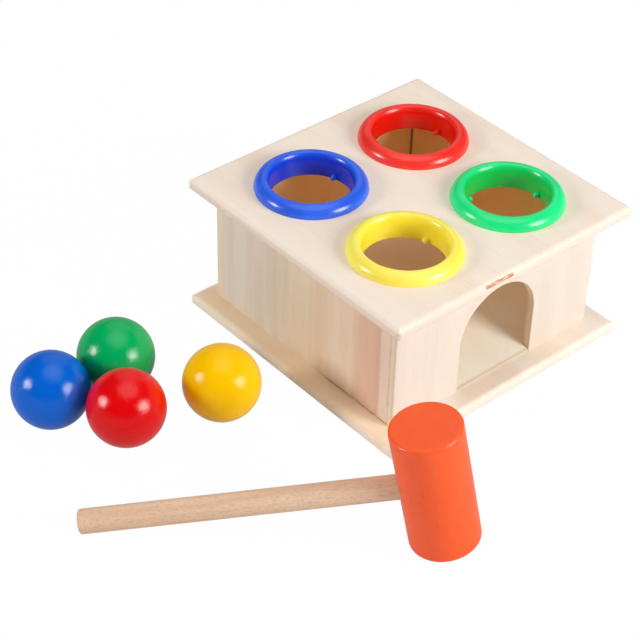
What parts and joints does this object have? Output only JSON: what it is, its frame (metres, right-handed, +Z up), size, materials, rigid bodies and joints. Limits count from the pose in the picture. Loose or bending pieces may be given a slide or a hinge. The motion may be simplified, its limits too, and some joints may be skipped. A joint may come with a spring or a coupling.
{
  "type": "ball pounding bench",
  "caption": "Square plywood box with coloured plastic ring seats for balls in its lid, a ramp inside down to an arched doorway, painted wooden balls and a wooden hammer.",
  "frame": {"origin": "middle of the base board's underside, at the height of the table that it stands on", "axes": "+Z up; -Y points out of the arched doorway; +X to the right for someone who faces the doorway"},
  "size_m": [0.2691, 0.2039, 0.0751],
  "materials": {
    "base_board": "bare sanded plywood",
    "top_board": "bare sanded plywood",
    "front_wall": "bare sanded plywood",
    "back_wall": "bare sanded plywood",
    "left_wall": "bare sanded plywood",
    "right_wall": "bare sanded plywood",
    "ramp_board": "bare sanded plywood",
    "ring_red": "moulded, glossy",
    "ring_blue": "moulded, glossy",
    "ring_green": "moulded, glossy",
    "ring_yellow": "moulded, glossy",
    "ball_blue": "satin paint on wood",
    "ball_green": "satin paint on wood",
    "ball_red": "satin paint on wood",
    "ball_yellow": "satin paint on wood",
    "hammer_head": "satin paint on wood",
    "hammer_handle": "plain beech dowel"
  },
  "bodies": {
    "box": {"base_board": "base_board", "top_board": "top_board", "front_wall": "front_wall", "back_wall": "back_wall", "left_wall": "left_wall", "right_wall": "right_wall", "ramp_board": "ramp_board", "ring_red": "ring_red", "ring_blue": "ring_blue", "ring_green": "ring_green", "ring_yellow": "ring_yellow"},
    "ball_blue": {"ball_blue": "ball_blue"},
    "ball_green": {"ball_green": "ball_green"},
    "ball_red": {"ball_red": "ball_red"},
    "ball_yellow": {"ball_yellow": "ball_yellow"},
    "hammer": {"hammer_head": "hammer_head", "hammer_handle": "hammer_handle"}
  },
  "joints": [
    {"name": "ball_blue_lift", "type": "slide", "parent": "box", "child": "ball_blue", "axis": [0, 0, 1], "range_m": [0, 0.09]},
    {"name": "ball_green_lift", "type": "slide", "parent": "box", "child": "ball_green", "axis": [0, 0, 1], "range_m": [0, 0.09]},
    {"name": "ball_red_lift", "type": "slide", "parent": "box", "child": "ball_red", "axis": [0, 0, 1], "range_m": [0, 0.09]},
    {"name": "ball_yellow_lift", "type": "slide", "parent": "box", "child": "ball_yellow", "axis": [0, 0, 1], "range_m": [0, 0.09]},
    {"name": "hammer_swing", "type": "hinge", "parent": "box", "child": "hammer", "pos_m": [-0.19471, -0.02213, 0.0008], "axis": [-0.6626, -0.749, 0], "range_deg": [0, 75]}
  ]
}
